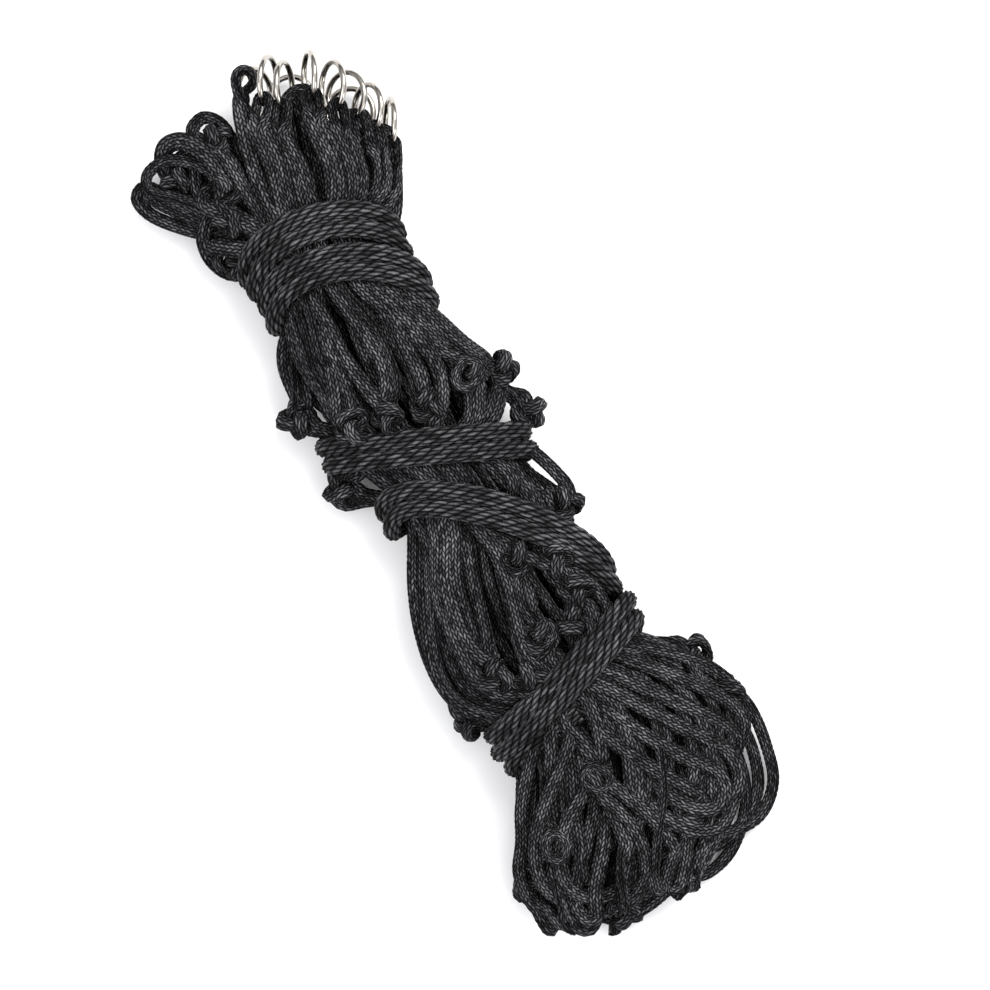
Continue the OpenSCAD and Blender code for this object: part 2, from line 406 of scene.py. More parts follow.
# One mesh of several cords. Each run has its path, the way its flat face looks and its half width and height
def braidMesh(name, runs, look, material):
    sides, power = look["sides"], look["square"]
    points, quads, caps, uvs = [], [], [], []
    base = 0
    k = np.arange(sides)
    k2 = (k + 1) % sides
    for run in runs:
        path, normal, start = run["path"], run["normal"], run.get("start", 0)
        n = len(path)
        across = unit(np.cross(alongPath(path), normal))
        length = travelled(path) + start
        angle = evenAngles(np.mean(run["halfWidth"]), np.mean(run["halfThick"]), look)
        ca = np.sign(np.cos(angle)) * np.abs(np.cos(angle)) ** power
        sa = np.sign(np.sin(angle)) * np.abs(np.sin(angle)) ** power
        relief = look["depth"] * (stitchRelief(k[None, :] / sides, length[:, None], look) - 0.6)
        halfWidth = np.broadcast_to(run["halfWidth"], n)[:, None] + relief
        halfThick = np.broadcast_to(run["halfThick"], n)[:, None] + relief
        ring = (path[:, None, :] + across[:, None, :] * (halfWidth * ca[None, :])[:, :, None]
            + normal[:, None, :] * (halfThick * sa[None, :])[:, :, None])
        ring[..., 2] = np.maximum(ring[..., 2], 0)          # nothing sinks into the floor
        points += [ring.reshape(-1, 3), path[[0, -1]]]      # each end closes on a point of its own
        i = np.arange(n - 1)[:, None]
        here, there = base + i * sides, base + (i + 1) * sides
        quads.append(np.stack([here + k, there + k, there + k2, here + k2], axis=-1).reshape(-1, 4))
        u0, u1 = np.broadcast_to(k / sides, (n - 1, sides)), np.broadcast_to((k + 1) / sides, (n - 1, sides))
        v0, v1 = length[i] + 0 * u0, length[i + 1] + 0 * u0
        corners = ((u0, v0), (u0, v1), (u1, v1), (u1, v0))
        uvs.append(np.stack([np.stack(corner, -1) for corner in corners], axis=2).reshape(-1, 2))
        end, tip = base + (n - 1) * sides, base + n * sides
        caps.append(np.stack([0 * k + tip, base + k, base + k2], -1))
        caps.append(np.stack([0 * k + tip + 1, end + k2, end + k], -1))
        base = tip + 2
    points, quads, caps = np.vstack(points), np.vstack(quads), np.vstack(caps)
    mesh = bpy.data.meshes.new(name)
    mesh.vertices.add(len(points))
    mesh.vertices.foreach_set("co", points.astype(np.float32).ravel())
    corners = np.concatenate([quads.ravel(), caps.ravel()])
    starts = np.concatenate([np.arange(len(quads)) * 4, len(quads) * 4 + np.arange(len(caps)) * 3])
    mesh.loops.add(len(corners))
    mesh.loops.foreach_set("vertex_index", corners.astype(np.int32))
    mesh.polygons.add(len(starts))
    mesh.polygons.foreach_set("loop_start", starts.astype(np.int32))
    mesh.update(calc_edges=True)
    mesh.validate()
    layer = mesh.uv_layers.new(name="UVMap")
    allUv = np.zeros((len(corners), 2), np.float32)
    allUv[: len(quads) * 4] = np.vstack(uvs)
    layer.data.foreach_set("uv", allUv.ravel())
    mesh.shade_smooth()
    mesh.materials.append(material)
    return added(name, mesh)


# Puts a piece of net cord on the net, in place of the CAD nodes that it stands for
def placed(piece, *nodes):
    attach(piece, netBody)
    if nodes:
        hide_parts(*nodes)


# Middle x, y, half width, turn in degrees, middle height, half height.
hankSections = [
    (-.008, .178, .026, -21, .024, .016),
    (-.006, .157, .032, -24, .026, .018),
    (-.010, .138, .031, -20, .026, .018),
    (-.015, .118, .029, -14, .025, .017),
    (-.017, .103, .030, -10, .025, .016),
    (-.0135, .088, .036, -10, .025, .020),
    (-.012, .070, .043, -12, .025, .026),
    (-.008, .050, .047, -15, .025, .027),
    (-.0065, .034, .044, -17, .025, .022),
    (-.0065, .0225, .038, -17, .025, .017),
    (-.001, .006, .036, -20, .025, .021),
    (.002, -.008, .036, -24, .025, .021),
    (.006, -.027, .037, -29, .025, .017),
    (.003, -.045, .042, -14, .025, .024),
    (.002, -.062, .044, -5, .025, .026),
    (.002, -.080, .044, 8, .025, .025),
    (.013, -.097, .036, 24, .025, .017),
    (.024, -.117, .046, 18, .025, .022),
    (.026, -.137, .054, 8, .025, .025),
    (.020, -.157, .051, -2, .024, .025),
    (.012, -.174, .048, -8, .023, .023),
    (.003, -.190, .043, -6, .021, .019),
    (-.001, -.202, .036, -2, .018, .015),
]

# In each look, dark is the cord's own black, light is the colour of the painted highlight on the stitch tops, and edge
# is how strongly the narrow edges are painted darker as shade
netLook = {"sides": 24, "columns": 12, "pitch": 0.0028, "slant": 0.4, "alternate": 1, "depth": 0.00034,
    "square": 0.95, "sheen": 0.0, "gloss": 0.035, "fuzz": 1.3, "rough": 0.85, "relief": 1.0, "drift": 1.0, "edge": 0.88,
    "dark": (0.0008, 0.0008, 0.001), "light": (0.2, 0.2, 0.211)}
innerLook = dict(netLook, sides=8, depth=0.0)
ropeLook = {"sides": 36, "columns": 12, "pitch": 0.0056, "slant": 0.3, "alternate": 0, "depth": 0.0008,
    "square": 1.0, "sheen": 0.0, "gloss": 0.06, "fuzz": 1.0, "rough": 0.8, "relief": 0.9, "drift": 1.9, "edge": 0.0,
    "dark": (0.0008, 0.0008, 0.001), "light": (0.135, 0.135, 0.142)}
knotLook = dict(netLook, sides=12, columns=6)
netCord = {
    "halfWidth": 0.0038, "halfThick": 0.0018,
    "outer": 54, "middle": 26, "core": 22,     # runs in the three layers of the hank
    "tailOuter": 14, "tailCore": 12,           # of these, the runs that are in the tail only
    "spacing": 0.0013, "innerSpacing": 0.0024,
}
stationStep = 0.003       # from slice to slice
headStation = 25          # slices from the mouth to the middle of the first tie
tailTie = (.013, -.097, .025)
# How the slices relax: each cord is drawn straight and towards its goal, and pushed off its neighbours
lay = {"steps": 170, "straighten": 0.45, "recall": 0.035, "push": 0.27, "gap": 0.0042, "lowest": 0.0022, "sectors": 60}


def stationTable():
    rows = np.array(hankSections, float)
    reach = travelled(rows[:, :2])
    at = np.arange(0, reach[-1], stationStep)
    table = np.stack([np.interp(at, reach, rows[:, k]) for k in range(6)], axis=1)
    return blur(table, 6)


# The bundle as flat slices. A cord has a place (x across, z up) in each slice that it passes
class Hank:
    def __init__(self):
        self.table = stationTable()
        yaw = np.radians(self.table[:, 3])
        self.across = np.stack([np.cos(yaw), np.sin(yaw), 0 * yaw], axis=1)
        self.middle = np.stack([self.table[:, 0], self.table[:, 1], self.table[:, 4]], axis=1)
        self.half = self.table[:, [2, 5]]
        self.count = len(self.table)

    # The slice nearest to a point, and the point's place in it
    def station(self, point):
        d = np.asarray(point, float) - self.middle
        off = np.abs(-d[:, 0] * self.across[:, 1] + d[:, 1] * self.across[:, 0])
        near = np.linalg.norm(d[:, :2], axis=1)
        j = int(np.argmin(off + np.where(near > 0.09, 1.0, 0.0)))
        return j, np.array([d[j] @ self.across[j], d[j, 2]])

    def place(self, j, spot):
        spot = np.asarray(spot)
        up = np.array([0, 0, 1.0])
        return self.middle[j] + spot[..., :1] * self.across[j] + spot[..., 1:] * up

    def outward(self, j, spot):
        w = spot / self.half[j] ** 2
        v = w[..., :1] * self.across[j] + w[..., 1:] * np.array([0, 0, 1.0])
        return unit(v)


# Smooth seeded noise along the hank, about -1 to 1, one row for each cord
def wander(rng, count, stations, wavelength):
    knots = int(stations * stationStep / wavelength) + 4
    values = rng.uniform(-1, 1, (count, knots))
    at = np.linspace(0, knots - 1.001, stations)
    i = at.astype(int)
    f = (1 - np.cos((at - i) * math.pi)) / 2
    return values[:, i] * (1 - f) + values[:, i + 1] * f


# Lays the cords of the bundle and lets them push each other aside, slice by slice
def layCords(hank, knotPlaces, legs, rng):
    angles, radii = [], []
    for amount, extra, radius in ((netCord["outer"], netCord["tailOuter"], 0.96), (netCord["middle"], 0, 0.68),
            (netCord["core"], netCord["tailCore"], 0.3)):
        main = amount - extra
        angles += list((np.arange(main) + rng.uniform(-0.3, 0.3, main)) * turn / max(main, 1))
        angles += list((np.arange(extra) + 0.5) * turn / max(extra, 1))
        radii += [radius] * main + [radius - 0.1] * extra
    angles, radii = np.array(angles), np.array(radii)
    total = len(angles)
    theta = angles[:, None] + 0.3 * wander(rng, total, hank.count, 0.08) + 0.07 * wander(rng, total, hank.count, 0.03)
    rho = radii[:, None] + 0.1 * wander(rng, total, hank.count, 0.06) - 0.03
    goal = np.stack([rho * np.cos(theta), rho * np.sin(theta)], axis=-1) * hank.half[None]
    first = rng.integers(3, 10, total)
    last = hank.count - 1 - (rng.uniform(0, 1, total) ** 1.5 * 20).astype(int)
    tailOnly = np.zeros(total, bool)
    tailOnly[netCord["outer"] - netCord["tailOuter"]: netCord["outer"]] = True
    tailOnly[total - netCord["tailCore"]:] = True
    first[tailOnly] = hank.station(tailTie)[0] - 3
    limit = np.ones((total, hank.count))
    pinned, taken = [], set()
    tie = headStation
    for leg in legs:
        j, spot = hank.station(leg["point"])
        aim = spot[0] / hank.half[j][0] * hank.half[tie][0]
        upper = goal[:, tie, 1] * leg["side"]
        cost = np.abs(goal[:, tie, 0] - aim) - 0.6 * upper
        cost[list(taken)] = 9
        cost[tailOnly] = 9
        who = int(np.argmin(cost))
        taken.add(who)
        leg["cord"] = who
        first[who] = j
        f = ease(np.clip((np.arange(hank.count) - j) / (tie - j), 0, 1))[:, None]
        goal[who] = np.where(f < 1, spot * (1 - f) + goal[who, tie] * f, goal[who])
        pinned.append((who, j, spot))
        limit[who, :tie] = 1 + 0.6 * ease(np.clip((12 - np.arange(tie)) / 6, 0, 1))
    for i in range(total):
        if i not in taken and not tailOnly[i] and goal[i, tie, 1] > -0.004:
            f = ease(np.clip((tie - 2 - np.arange(hank.count)) / 7, 0, 1))
            goal[i, :, 1] -= f * (goal[i, :, 1] + 0.002 + 0.006 * rng.random())
            goal[i, :, 0] *= 1 - 0.22 * f
    held = []
    for point in knotPlaces:
        j, spot = hank.station(point)
        spot = spot * (1 - 0.0025 / max(np.linalg.norm(spot), 0.01))
        nearest = np.argsort(np.linalg.norm(goal[:, j] - spot, axis=1) + 9 * (last < j) + 9 * (first > j))[:4]
        out = max(1, np.linalg.norm(spot / hank.half[j]))
        for k in range(-9, 10):
            if 0 <= j + k < hank.count:
                swell = 1 + (out - 1) * math.cos(k / 10 * math.pi / 2) ** 2
                limit[nearest, j + k] = np.maximum(limit[nearest, j + k], swell)
        held.append((j, spot, nearest))
    stations = np.arange(hank.count)
    alive = (stations[None] >= first[:, None]) & (stations[None] <= last[:, None])
    both = alive[:, None] & alive[None, :]
    room = roomUnderRope(hank)
    spots = goal.copy()
    for _ in range(lay["steps"]):
        spots[:, 1:-1] += lay["straighten"] * ((spots[:, :-2] + spots[:, 2:]) / 2 - spots[:, 1:-1])
        spots += lay["recall"] * (goal - spots)
        delta = spots[:, None] - spots[None, :]
        distance = np.linalg.norm(delta, axis=-1) + 1e-9
        push = np.clip(lay["gap"] - distance, 0, None) * lay["push"] * both
        push[np.arange(total), np.arange(total)] = 0
        spots += (delta / distance[..., None] * push[..., None]).sum(1)
        reach = np.linalg.norm(spots / hank.half[None], axis=-1) / limit
        spots /= np.maximum(reach, 1)[..., None]
        floor = lay["lowest"] - hank.middle[:, 2]
        spots[..., 1] = np.maximum(spots[..., 1], floor[None])
        far = np.linalg.norm(spots, axis=-1) + 1e-9
        sector = (np.arctan2(spots[..., 1], spots[..., 0]) / turn * room.shape[1]).astype(int) % room.shape[1]
        spots *= np.minimum(1, room[stations[None], sector] / far)[..., None]
        for who, j, spot in pinned:
            spots[who, j] = spot
        for j, spot, nearest in held:
            for m, who in enumerate(nearest):
                aim = spot + np.array([(m - 1.5) * 0.0019, 0.0012 * (m % 2)])
                for q in range(max(0, j - 2), min(hank.count, j + 3)):
                    spots[who, q] += (aim - spots[who, q]) * (1.0 if q == j else 0.5)
    return spots, radii, first, last


# How far from the middle a cord may be, for each slice and direction, so that it stays inside the rope's turns
def roomUnderRope(hank):
    bins = lay["sectors"]
    room = np.full((hank.count, bins), 9.0)
    clear = drawRope["diameter"] / 2 + netCord["halfThick"]
    for strand in ropeStrands():
        for point in smoothRoute(strand, 0.002):
            j, spot = hank.station(point)
            far = np.linalg.norm(spot)
            if abs(point[1] - hank.middle[j, 1]) > 0.05:
                continue
            k = int(math.atan2(spot[1], spot[0]) / turn * bins) % bins
            for dj in (-1, 0, 1):
                for dk in (-1, 0, 1):
                    q = min(max(j + dj, 0), hank.count - 1)
                    room[q, (k + dk) % bins] = min(room[q, (k + dk) % bins], far - clear)
    return room


# The bend by which two cords are one: from the end of one run to the end of the other
def bightEnd(a, b, ahead):
    reach = ahead * 1.3
    r = max(np.linalg.norm(a - b) / 2, 0.004)
    return [a + reach * 0.5 * r, (a + b) / 2 + reach * r, b + reach * 0.5 * r]


# Joins cord ends into pairs, nearest first: those that lead to a ring with those that don't
def pairUp(ends, mouth, rng):
    left = [i for i in range(len(ends)) if i not in mouth]
    mate = {}
    for a in list(mouth) + list(left):
        if a in mate or not left:
            continue
        order = sorted((b for b in left if b != a), key=lambda b: np.linalg.norm(ends[a] - ends[b]))
        if not order:
            continue
        b = order[min(int(rng.integers(0, 2)), len(order) - 1)]
        mate[a], mate[b] = b, a
        left.remove(b)
        if a in left:
            left.remove(a)
    return mate


makeCamera()
makeStudio()
makeFloor()
braidGroup()
yarnGroup()
cordFinish = cordMaterial("blackNetCord", netLook)
ropeFinish = cordMaterial("blackDrawRope", ropeLook)
steelFinish = steelMaterial("polishedSteel")
print("studio and finishes ready")


drawRope = {
    "diameter": 0.008,
    "gap": 0.0084,          # between the middles of its two strands
    "middle": 0.025,
    "rise": 0.021,
    "steps": 10,            # route points in each half turn
    "spacing": 0.0012,
}
# Where each half turn starts: x, y at a side, and how far it arches towards the mouth
ropeSides = [(-53, 118, 19), (17, 112, 0), (-50, 102, 19), (20, 88, 0), (-50, 35, 1), (37, 9, 0), (-35, -3, 22),
    (49, -63, 0), (-27, -113, -2), (53, -78, -8), (-26, -121, 0)]
ropeFold = [(-50, 126, 12), (-38, 135, 5), (-22, 145, 4), (-10, 154, 4), (2, 158, 4), (12, 152, 4), (13, 140, 4),
    (4, 130, 4), (-10, 124, 4), (-28, 120, 4), (-44, 116, 12)]
ropeTuck = [(-20, -118, 31), (-6, -114, 37), (14, -108.5, 41.5)]


def ropeTurns():
    rows = []
    sides = metres(ropeSides)
    for i in range(len(sides) - 1):
        p, q = sides[i], sides[i + 1]
        sign = 1 if i % 2 == 0 else -1
        for k in range(drawRope["steps"]):
            a = math.pi * k / drawRope["steps"]
            f = (1 - math.cos(a)) / 2
            rows.append((p[0] + (q[0] - p[0]) * f, p[1] + (q[1] - p[1]) * f + p[2] * math.sin(a),
                drawRope["middle"] + sign * drawRope["rise"] * math.sin(a)))
    return np.array(rows)


# The middle lines of the two strands side by side, over all the turns
def ropeStrands():
    middle = ropeTurns()
    ahead = alongPath(middle)
    across = np.array([0, 1.0, 0]) - ahead * ahead[:, 1:2]
    across = unit(across) * drawRope["gap"] / 2
    return middle + across, middle - across


def makeDrawRope():
    towards, away = ropeStrands()
    tuck = metres(ropeTuck)
    apart = np.array([0, drawRope["gap"] / 2, 0])
    rows = [(tuck + apart)[::-1], towards[::-1], metres(ropeFold), away, tuck - apart]
    path = smoothRoute(np.vstack(rows), drawRope["spacing"])
    path = blur(path, 12)
    path[:, 2] = np.maximum(path[:, 2], drawRope["diameter"] / 2)
    half = drawRope["diameter"] / 2
    rope = braidMesh("draw_rope_braid",
        [{"path": path, "normal": carried(path), "halfWidth": half, "halfThick": half}], ropeLook, ropeFinish)
    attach(rope, netBody)
    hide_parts("draw_rope")
    print("draw rope", round(routeLength(path), 3), "m")


makeDrawRope()


knotPlaces = {
    "knots_upper": [(-56, 56, 20), (-34, 43, 43), (-17, 41, 47), (1, 40, 47), (25, 46, 42), (38, 43, 32), (43, 21, 22)],
    "knots_waist": [(-49, 20, 16), (42, -24, 26)],
    "knots_lower": [(14, -39, 46), (29, -45, 42), (33, -61, 40), (10, -74, 47), (26, -76, 42), (-2, -91, 45),
        (-16, -84, 44), (-34, -101, 16)],
    "knots_tail": [(70, -108, 20), (79, -130, 22), (10, -142, 47), (-20, -166, 36), (-37, -181, 12), (0, -205, 10),
        (46, -174, 38)],
}
knotShape = {"reach": 0.0022, "rise": 0.0040, "halfWidth": 0.0035, "halfThick": 0.0021, "rings": 84}


# A tight knot: three crossing loops about its place, turned at random
def knotRun(place, rng, size=1.0):
    t = np.linspace(0, turn * 0.985, knotShape["rings"])
    x = np.sin(t) + 2 * np.sin(2 * t)
    y = np.cos(t) - 2 * np.cos(2 * t)
    path = np.stack([x * knotShape["reach"], y * knotShape["reach"], -np.sin(3 * t) * knotShape["rise"]], axis=1)
    path *= size * (1 + 0.1 * np.sin(2 * t + rng.uniform(0, 6))[:, None])
    a, b, c = rng.uniform(0, turn), rng.uniform(-0.9, 0.9), rng.uniform(-0.9, 0.9)
    rz = np.array([[math.cos(a), -math.sin(a), 0], [math.sin(a), math.cos(a), 0], [0, 0, 1]])
    rx = np.array([[1, 0, 0], [0, math.cos(b), -math.sin(b)], [0, math.sin(b), math.cos(b)]])
    ry = np.array([[math.cos(c), 0, math.sin(c)], [0, 1, 0], [-math.sin(c), 0, math.cos(c)]])
    path = path @ (rz @ rx @ ry).T
    facing = unit(path)
    path = path + np.asarray(place)
    path[:, 2] = np.maximum(path[:, 2], 0.003)
    return {"path": path, "normal": roundTwist(path, facing, 0.5 * np.sin(3 * t)),
        "halfWidth": knotShape["halfWidth"] * size, "halfThick": knotShape["halfThick"] * size,
        "start": float(rng.uniform(0, 1))}


def makeKnots(rng):
    for node, places in knotPlaces.items():
        runs = [knotRun(p, rng, 0.95 + 0.12 * rng.random()) for p in metres(places)]
        placed(braidMesh(node + "_tied", runs, knotLook, cordFinish), node)
    print("knots:", sum(len(places) for places in knotPlaces.values()))


eyeCord = {
    "halfThick": 0.0013,       # pressed flat against the wire
    "wire": 0.0014,
    "play": 0.0002,
    "leg": 0.013,              # from the wire back to where the two legs meet the hank
    "apart": 0.0024,
}


# For each ring, where its eye sits, the way to the ring's middle, and the way across the wire
def ringEyes():
    eyes = []
    for joint in frame["joints"]:
        pivot, wire = np.array(joint["pos_m"]), unit(np.array(joint["axis"]))
        low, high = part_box(joint["name"].replace("_hinge", ""))
        out = (np.array(low) + np.array(high)) / 2 - pivot
        out = unit(out - wire * (out @ wire))
        eyes.append({"pivot": pivot, "out": out, "across": unit(np.cross(out, wire))})
    return eyes


def eyeLegs(eyes):
    legs = []
    for number, eye in enumerate(eyes):
        hidden = eye["pivot"][2] < 0.012
        for side in (1, -1):
            point = eye["pivot"] - eye["out"] * eyeCord["leg"] + eye["across"] * side * eyeCord["apart"]
            up = -1 if hidden else (1 if side > 0 else 0.55)
            legs.append({"point": point, "eye": number, "side": up})
    return legs


# The cord's half turn round the wire, from one leg to the other, and the way its face looks
def eyeLoop(eye):
    r = eyeCord["wire"] + eyeCord["play"] + eyeCord["halfThick"]
    rows = [(-0.008, r), (-0.003, r)]
    rows += [(r * math.sin(a), r * math.cos(a)) for a in np.linspace(0, math.pi, 7)]
    rows += [(-0.003, -r), (-0.008, -r)]
    path = np.array([eye["pivot"] + eye["out"] * y + eye["across"] * x for y, x in rows])
    face = np.array([unit(eye["out"] * max(y, 0) + eye["across"] * x) for y, x in rows])
    return path, face


# Values given at the points of a path, carried over to its resampled route
def resampled(values, path, fine):
    reach = travelled(path)
    at = np.linspace(0, reach[-1], len(fine))
    values = np.asarray(values, float)
    if values.ndim == 1:
        return np.interp(at, reach, values)
    return np.stack([np.interp(at, reach, values[:, k]) for k in range(3)], axis=1)


def cordRun(path, facing, twist, spacing, halfWidth, halfThick, start):
    path = np.asarray(path, float)
    fine = smoothRoute(path, spacing)
    return {"path": fine, "normal": roundTwist(fine, resampled(facing, path, fine), resampled(twist, path, fine)),
        "halfWidth": resampled(np.broadcast_to(halfWidth, len(path)), path, fine),
        "halfThick": resampled(np.broadcast_to(halfThick, len(path)), path, fine), "start": start}


def makeBundle(rng):
    hank = Hank()
    places = metres([p for row in knotPlaces.values() for p in row])
    eyes = ringEyes()
    legs = eyeLegs(eyes)
    spots, radii, first, last = layCords(hank, places, legs, rng)
    total = len(spots)
    edgeOn = np.where(rng.random(total) < 0.55, rng.uniform(1.0, 1.6, total), 0.0)
    edgeOn[[leg["cord"] for leg in legs]] = 0
    twist = 0.5 * wander(rng, total, hank.count, 0.06) + edgeOn[:, None]
    width = netCord["halfWidth"] * rng.uniform(0.85, 1.06, total)
    stations = np.arange(hank.count)

    def side(i):
        js = stations[first[i]: last[i] + 1]
        return (np.array([hank.place(j, spots[i, j]) for j in js]),
            np.array([hank.outward(j, spots[i, j]) for j in js]), twist[i, js].copy())

    looped = {}       # ring -> the line whose cord goes round its wire
    cords = [side(i) for i in range(total)]
    mouth = {}        # run -> the ring that it ends at
    partner = {}
    for leg in legs:
        mouth[leg["cord"]] = leg["eye"]
        partner.setdefault(leg["eye"], []).append(leg["cord"])
    ends = [path[-1] for path, _, _ in cords]
    tailMate = pairUp(ends, mouth, rng)
    # Walk each cord as one line: down a run, round its bend in the tail, up the next, round a ring's wire, and on.
    done, lines = set(), []
    for begin in [i for i in range(total) if i not in mouth] + list(mouth):
        if begin in done:
            continue
        line, i, down = [], begin, True
        while True:
            done.add(i)
            path, facing, spin = cords[i]
            step = 1 if down else -1
            line.append((path[::step], facing[::step], spin[::step], i))
            follow = tailMate.get(i) if down else next((k for k in partner.get(mouth.get(i), []) if k != i), None)
            if follow is None or follow in done:
                break
            if down:
                nextPath, nextFacing, nextSpin = cords[follow]
                ahead = unit((path[-1] - path[-4]) + (nextPath[-1] - nextPath[-4]))
                bend = np.array(bightEnd(path[-1], nextPath[-1], ahead))
                bend[:, 2] = np.maximum(bend[:, 2], 0.0025)
                look = unit(facing[-1] + nextFacing[-1] + np.array([0, 0, 0.2]))
                line.append((bend, look[None].repeat(3, 0), np.full(3, (spin[-1] + nextSpin[-1]) / 2), i))
            else:
                loop, look = eyeLoop(eyes[mouth[i]])
                step = 1 if i == partner[mouth[i]][0] else -1
                line.append((loop[::step], look[::step], np.zeros(len(loop)), i))
                looped[mouth[i]] = len(lines)
            i, down = follow, not down
        lines.append(line)
    inner, count, triangles = [], 0, 0
    for number, line in enumerate(lines):
        path = np.vstack([p for p, _, _, _ in line])
        facing = np.vstack([f for _, f, _, _ in line])
        spin = np.concatenate([t for _, _, t, _ in line])
        isOuter = any(radii[i] > 0.9 or i in mouth for _, _, _, i in line)
        start = float(rng.uniform(0, 1))
        if isOuter:
            count += 1
            run = cordRun(path, facing, spin, netCord["spacing"], width[line[0][3]], netCord["halfThick"], start)
            cord = braidMesh(f"net_cord_{count:02d}", [run], netLook, cordFinish)
            placed(cord, *[f"eye_{eye + 1}" for eye, at in looped.items() if at == number])
            triangles += 2 * len(run["path"]) * netLook["sides"]
        else:
            inner.append(cordRun(path, facing, spin, netCord["innerSpacing"], width[line[0][3]], netCord["halfThick"],
                start))
    core = braidMesh("net_cord_inner", inner, innerLook, cordFinish)
    placed(core, "head_bundle", "upper_bundle", "waist_bundle", "lower_bundle", "tail_bundle")
    print("bundle:", total, "runs in", len(lines), "lines,", triangles, "triangles outside,", len(looped), "eyes")


# The part folded back beside the head. Each: how wide, how much it is twisted, and its route
foldCords = [
    (1.15, 0.1, [(-30, 122, 33), (-36, 132, 35), (-44, 144, 35), (-50, 157, 35), (-47, 171, 36), (-51, 183, 34),
        (-58, 191, 28), (-66, 192, 21), (-70, 185, 16), (-68, 175, 15), (-62, 165, 14), (-52, 150, 12),
        (-42, 134, 12)]),
    (1.0, -0.2, [(-30, 126, 29), (-38, 145, 30), (-45, 163, 31), (-48, 175, 30), (-55, 184, 26), (-62, 184, 19),
        (-63, 175, 14), (-57, 163, 11), (-46, 145, 9), (-40, 128, 10)]),
    (0.9, 0.5, [(-31, 124, 36), (-36, 143, 37), (-40, 162, 37), (-43, 178, 35), (-49, 187, 30), (-52, 194, 24),
        (-46, 198, 22), (-40, 194, 25), (-37, 186, 27), (-37, 172, 24), (-35, 150, 20), (-34, 128, 16)]),
    (0.8, 1.2, [(-28, 118, 34), (-33, 138, 36), (-37, 158, 36), (-41, 176, 33), (-50, 184, 24), (-56, 178, 17),
        (-53, 164, 14), (-45, 146, 12), (-38, 126, 12)]),
    (0.85, 0.3, [(-46, 134, 16), (-60, 146, 15), (-74, 157, 12), (-84, 167, 9), (-87, 176, 10), (-81, 179, 13),
        (-71, 168, 16), (-58, 152, 20), (-44, 138, 22)]),
    (0.8, 0.9, [(-46, 142, 25), (-58, 157, 26), (-70, 169, 21), (-80, 177, 18), (-78, 184, 18), (-68, 186, 22),
        (-57, 180, 28), (-47, 168, 31), (-40, 150, 30)]),
    (0.8, 0.6, [(-46, 136, 21), (-58, 148, 19), (-70, 161, 16), (-79, 171, 13), (-82, 176, 14), (-75, 173, 18),
        (-64, 164, 22), (-52, 150, 26), (-42, 138, 27)]),
    (1.0, 0.2, [(-46, 158, 18), (-54, 159, 22), (-64, 150, 21), (-66, 140, 15), (-62, 131, 10), (-55, 127, 9),
        (-47, 127, 11), (-38, 121, 15)]),
    (1.1, -0.1, [(-46, 166, 18), (-56, 166, 23), (-58, 160, 30), (-51, 153, 34), (-42, 143, 37), (-34, 133, 38),
        (-26, 122, 37)]),
    (1.1, 0.15, [(-46, 146, 13), (-57, 147, 14), (-64, 144, 21), (-57, 139, 28), (-49, 135, 32), (-41, 130, 34),
        (-34, 121, 34)]),
    (1.0, 0.4, [(-40, 122, 7), (-56, 138, 4), (-64, 156, 4), (-62, 172, 6), (-54, 180, 7), (-48, 170, 8), (-44, 150, 7),
        (-36, 130, 7)]),
    (0.9, 0.8, [(-42, 122, 14), (-52, 138, 16), (-59, 154, 19), (-60, 170, 21), (-54, 182, 22), (-47, 176, 24),
        (-45, 160, 26), (-41, 140, 26), (-36, 126, 26)]),
]
foldKnots = [(-46, 164, 34), (-50, 150, 31), (-57, 133, 16), (-66, 178, 19), (-43, 186, 30), (-48, 127, 22)]
curlCord = [(-28, 122, 37), (-31, 142, 39), (-32, 160, 39), (-31, 176, 38), (-29, 189, 38), (-26.6, 199, 38),
    (-25.6, 205.5, 38), (-23.6, 208.9, 38), (-20.3, 209.6, 38), (-17.8, 207.2, 38), (-18, 203.3, 37.4),
    (-20.8, 201.3, 36), (-24.5, 200.3, 34), (-28, 194, 31), (-31, 178, 27), (-31, 158, 24), (-30, 136, 22)]
